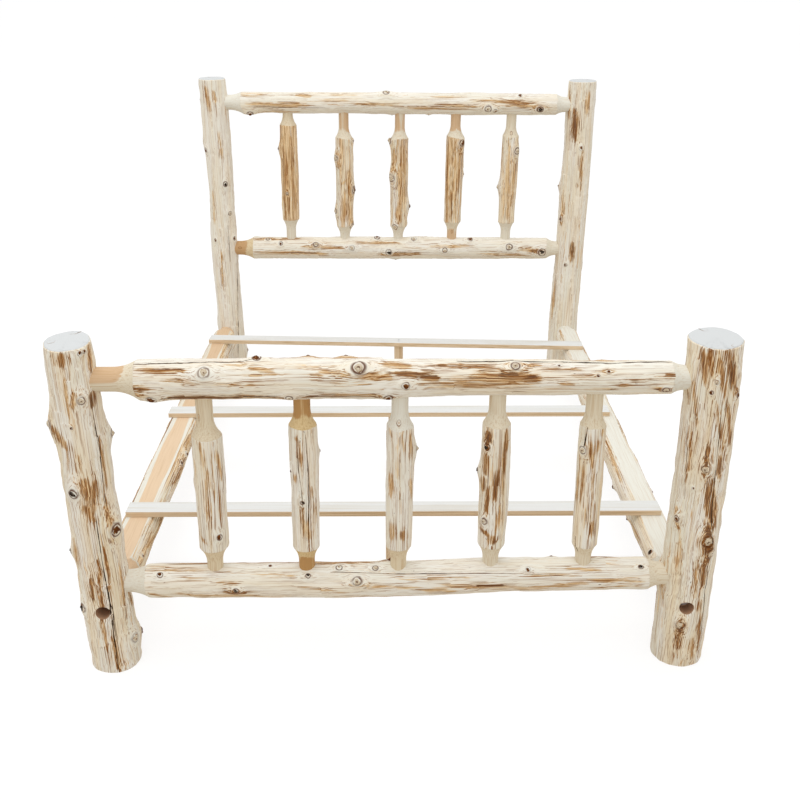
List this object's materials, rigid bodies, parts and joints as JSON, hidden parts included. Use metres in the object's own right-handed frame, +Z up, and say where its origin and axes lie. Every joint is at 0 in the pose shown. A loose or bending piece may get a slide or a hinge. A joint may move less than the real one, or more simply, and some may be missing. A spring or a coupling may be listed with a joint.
{
  "type": "rustic log bed frame",
  "caption": "Queen-size bed frame of peeled round logs: turned tenons join posts, rails and spindles, bolted side rails carry loose slats on centre legs.",
  "frame": {"origin": "middle of the floor area under the bed, on the floor", "axes": "+X to the right seen from the foot, +Y from the footboard to the headboard, +Z up"},
  "size_m": [1.7948, 2.3271, 1.38],
  "materials": {
    "peeled_log": "peeled softwood log, hand-scraped, clear matt finish",
    "sawn_board": "planed softwood board, unfinished",
    "zinc_steel": "bright zinc-plated steel"
  },
  "bodies": {
    "bed_frame": {"foot_post_left": "peeled_log", "foot_post_right": "peeled_log", "head_post_left": "peeled_log", "head_post_right": "peeled_log", "footboard_bottom_rail": "peeled_log", "footboard_top_rail": "peeled_log", "footboard_spindle_1": "peeled_log", "footboard_spindle_2": "peeled_log", "footboard_spindle_3": "peeled_log", "footboard_spindle_4": "peeled_log", "footboard_spindle_5": "peeled_log", "headboard_bottom_rail": "peeled_log", "headboard_top_rail": "peeled_log", "headboard_spindle_1": "peeled_log", "headboard_spindle_2": "peeled_log", "headboard_spindle_3": "peeled_log", "headboard_spindle_4": "peeled_log", "headboard_spindle_5": "peeled_log", "side_rail_left": "peeled_log", "side_rail_right": "peeled_log", "rail_washer_foot_left": "zinc_steel", "rail_bolt_foot_left": "zinc_steel", "rail_barrel_nut_foot_left": "zinc_steel", "rail_washer_foot_right": "zinc_steel", "rail_bolt_foot_right": "zinc_steel", "rail_barrel_nut_foot_right": "zinc_steel", "rail_washer_head_left": "zinc_steel", "rail_bolt_head_left": "zinc_steel", "rail_barrel_nut_head_left": "zinc_steel", "rail_washer_head_right": "zinc_steel", "rail_bolt_head_right": "zinc_steel", "rail_barrel_nut_head_right": "zinc_steel"},
    "front_slat": {"slat_front": "sawn_board", "slat_leg_front": "sawn_board", "leg_screws_front": "zinc_steel"},
    "middle_slat": {"slat_middle": "sawn_board", "slat_leg_middle": "sawn_board", "leg_screws_middle": "zinc_steel"},
    "rear_slat": {"slat_rear": "sawn_board", "slat_leg_rear": "sawn_board", "leg_screws_rear": "zinc_steel"}
  },
  "joints": [
    {"name": "front_slat_lift", "type": "slide", "parent": "bed_frame", "child": "front_slat", "axis": [0, 0, 1], "range_m": [0, 0.3]},
    {"name": "middle_slat_lift", "type": "slide", "parent": "bed_frame", "child": "middle_slat", "axis": [0, 0, 1], "range_m": [0, 0.3]},
    {"name": "rear_slat_lift", "type": "slide", "parent": "bed_frame", "child": "rear_slat", "axis": [0, 0, 1], "range_m": [0, 0.3]}
  ]
}
